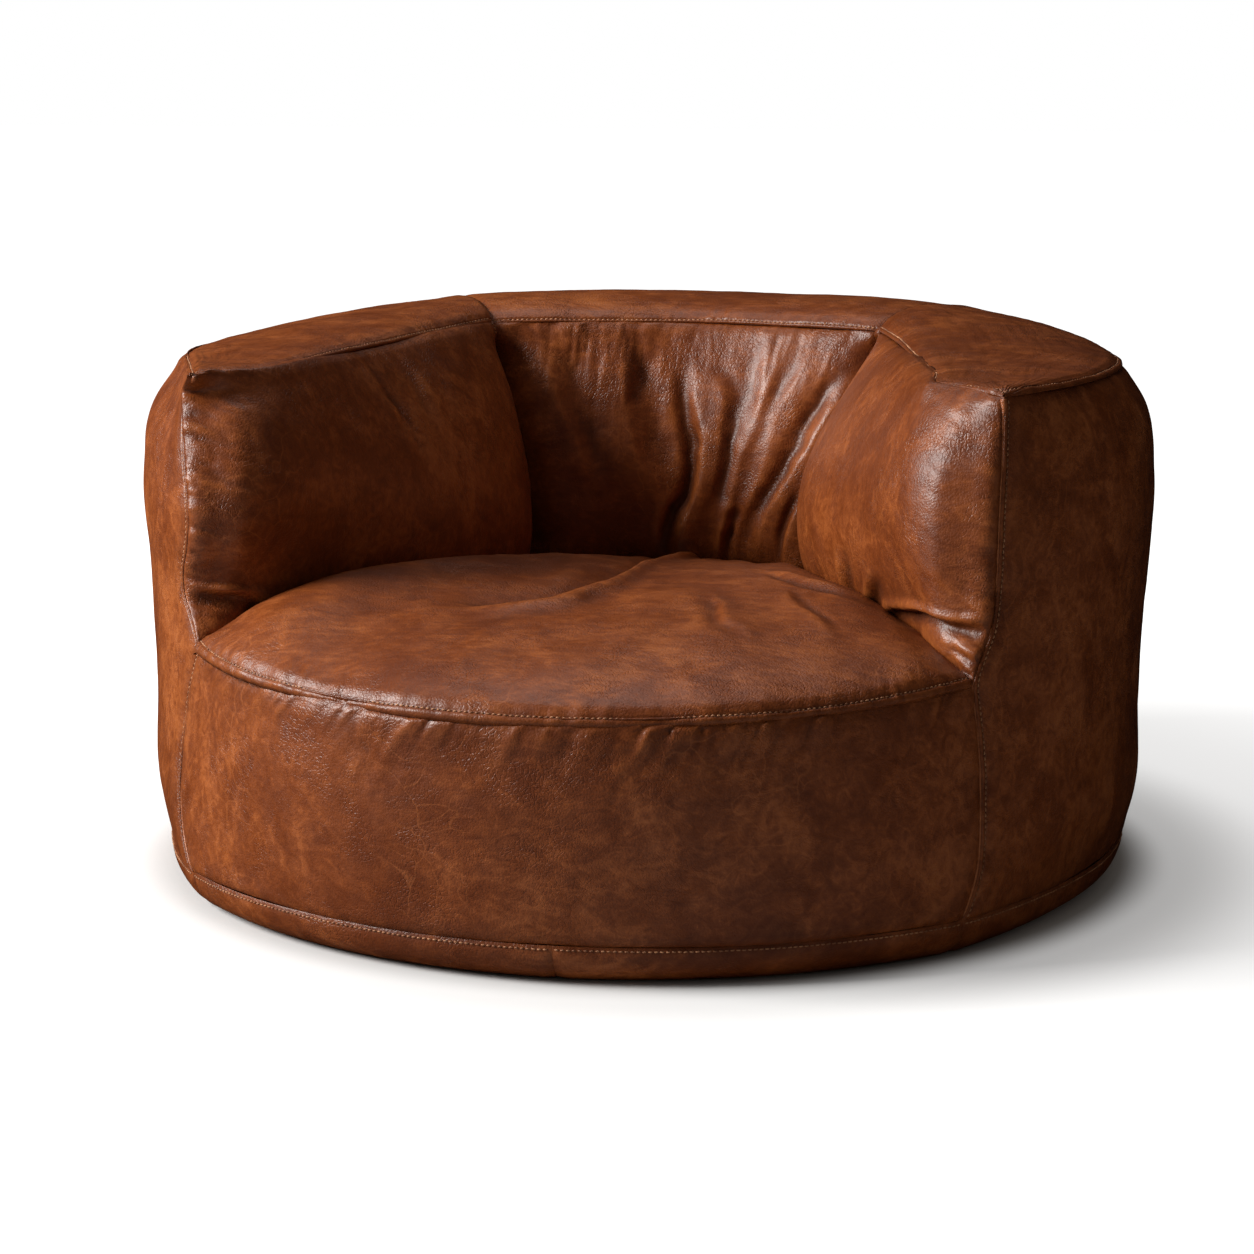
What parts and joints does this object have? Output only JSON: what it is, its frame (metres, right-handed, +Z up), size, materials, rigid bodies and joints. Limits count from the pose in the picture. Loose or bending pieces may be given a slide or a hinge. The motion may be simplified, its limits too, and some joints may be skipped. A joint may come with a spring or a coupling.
{
  "type": "bean bag chair",
  "caption": "Round tub bean bag chair in brown leather: a domed seat inside one C-shaped arm and back bolster, with bead-filled liners and a zip across the base.",
  "frame": {"origin": "bottom centre of the chair, on the floor", "axes": "+Z up, the open front of the seat faces -Y, +X to the right of a person looking at the front"},
  "size_m": [1.062, 1.0698, 0.569],
  "materials": {
    "leather": "pull-up leather, mottled chestnut brown, satin",
    "leather_edge": "rolled and burnished edge of the same leather",
    "base_cloth": "black non-slip woven cloth, matt",
    "zip_tape": "woven polyester tape, matt",
    "zip_nylon": "moulded nylon coil",
    "zip_metal": "antique plated zinc, satin",
    "liner_cloth": "undyed spun polyester, matt",
    "beads": "expanded polystyrene beads",
    "hook_and_loop": "black hook and loop tape, matt"
  },
  "bodies": {
    "chair": {"seat_top_panel": "leather", "front_panel": "leather", "outer_panel_left": "leather", "outer_panel_right": "leather", "outer_panel_back": "leather", "inner_arm_panel_left": "leather", "inner_arm_panel_right": "leather", "inner_back_panel": "leather", "top_band_left": "leather", "top_band_right": "leather", "top_band_back": "leather", "base_band_front_left": "leather", "base_band_front_right": "leather", "base_band_rear_left": "leather", "base_band_rear_right": "leather", "arm_welt_left": "leather_edge", "arm_welt_right": "leather_edge", "base_cloth_front": "base_cloth", "base_cloth_rear": "base_cloth", "zip_tape_front": "zip_tape", "zip_tape_rear": "zip_tape", "zip_coil_front": "zip_nylon", "zip_coil_rear": "zip_nylon", "zip_top_stop": "zip_metal", "zip_bottom_stop": "zip_metal", "seat_liner": "liner_cloth", "bolster_liner": "liner_cloth", "seat_bead_fill": "beads", "bolster_bead_fill": "beads", "seat_liner_hook_strip": "hook_and_loop", "seat_liner_loop_strip": "hook_and_loop", "bolster_liner_hook_strip": "hook_and_loop", "bolster_liner_loop_strip": "hook_and_loop"},
    "slider": {"zip_slider": "zip_metal"}
  },
  "joints": [
    {"name": "base_zip", "type": "slide", "parent": "chair", "child": "slider", "axis": [1, 0, 0], "range_m": [-0.76, 0]}
  ]
}
